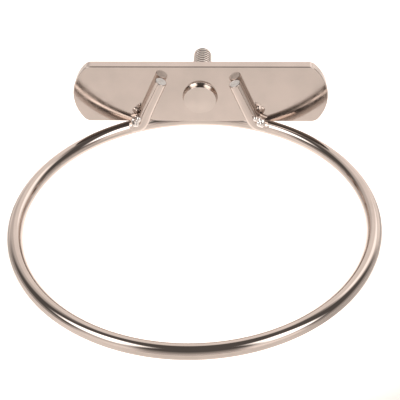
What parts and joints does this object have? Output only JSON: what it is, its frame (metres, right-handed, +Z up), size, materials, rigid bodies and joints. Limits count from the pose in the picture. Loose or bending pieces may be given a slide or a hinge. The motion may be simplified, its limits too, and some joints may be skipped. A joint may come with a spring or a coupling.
{
  "type": "bolt-on ring bracket",
  "caption": "Round-bar hoop welded under a lozenge back plate with leaning brace rods, swinging on a round-headed bolt with washers and a hexagon nut behind.",
  "frame": {"origin": "where the bolt's axis meets the back plate's rear face", "axes": "+Y along the bolt from its head to its tip, away from the hoop; +Z up along the plate; +X to the right seen from the hoop"},
  "size_m": [0.146, 0.1696, 0.0338],
  "materials": {
    "polished_steel": "mirror polished stainless steel",
    "weld_steel": "polished weld metal, lumpy",
    "bolt_steel": "polished",
    "plated_steel": "bright zinc plated, satin"
  },
  "bodies": {
    "bolt": {"pivot_bolt": "bolt_steel"},
    "bracket": {"hoop": "polished_steel", "back_plate": "polished_steel", "left_brace": "polished_steel", "right_brace": "polished_steel", "left_weld": "weld_steel", "right_weld": "weld_steel"},
    "washers": {"flat_washer": "plated_steel", "spring_washer": "plated_steel"},
    "nut": {"hex_nut": "plated_steel"}
  },
  "joints": [
    {"name": "swivel", "type": "hinge", "parent": "bolt", "child": "bracket", "pos_m": [0, 0, 0], "axis": [0, 1, 0], "continuous": true},
    {"name": "nut_travel", "type": "slide", "parent": "bolt", "child": "washers", "axis": [0, 1, 0], "range_m": [0, 0.017]},
    {"name": "nut_turn", "type": "hinge", "parent": "washers", "child": "nut", "pos_m": [0, 0, 0], "axis": [0, 1, 0], "range_deg": [0, 4320]}
  ],
  "couplings": [
    {"joint": "nut_travel", "follows": "nut_turn", "m_per_rad": 0.00022459}
  ]
}
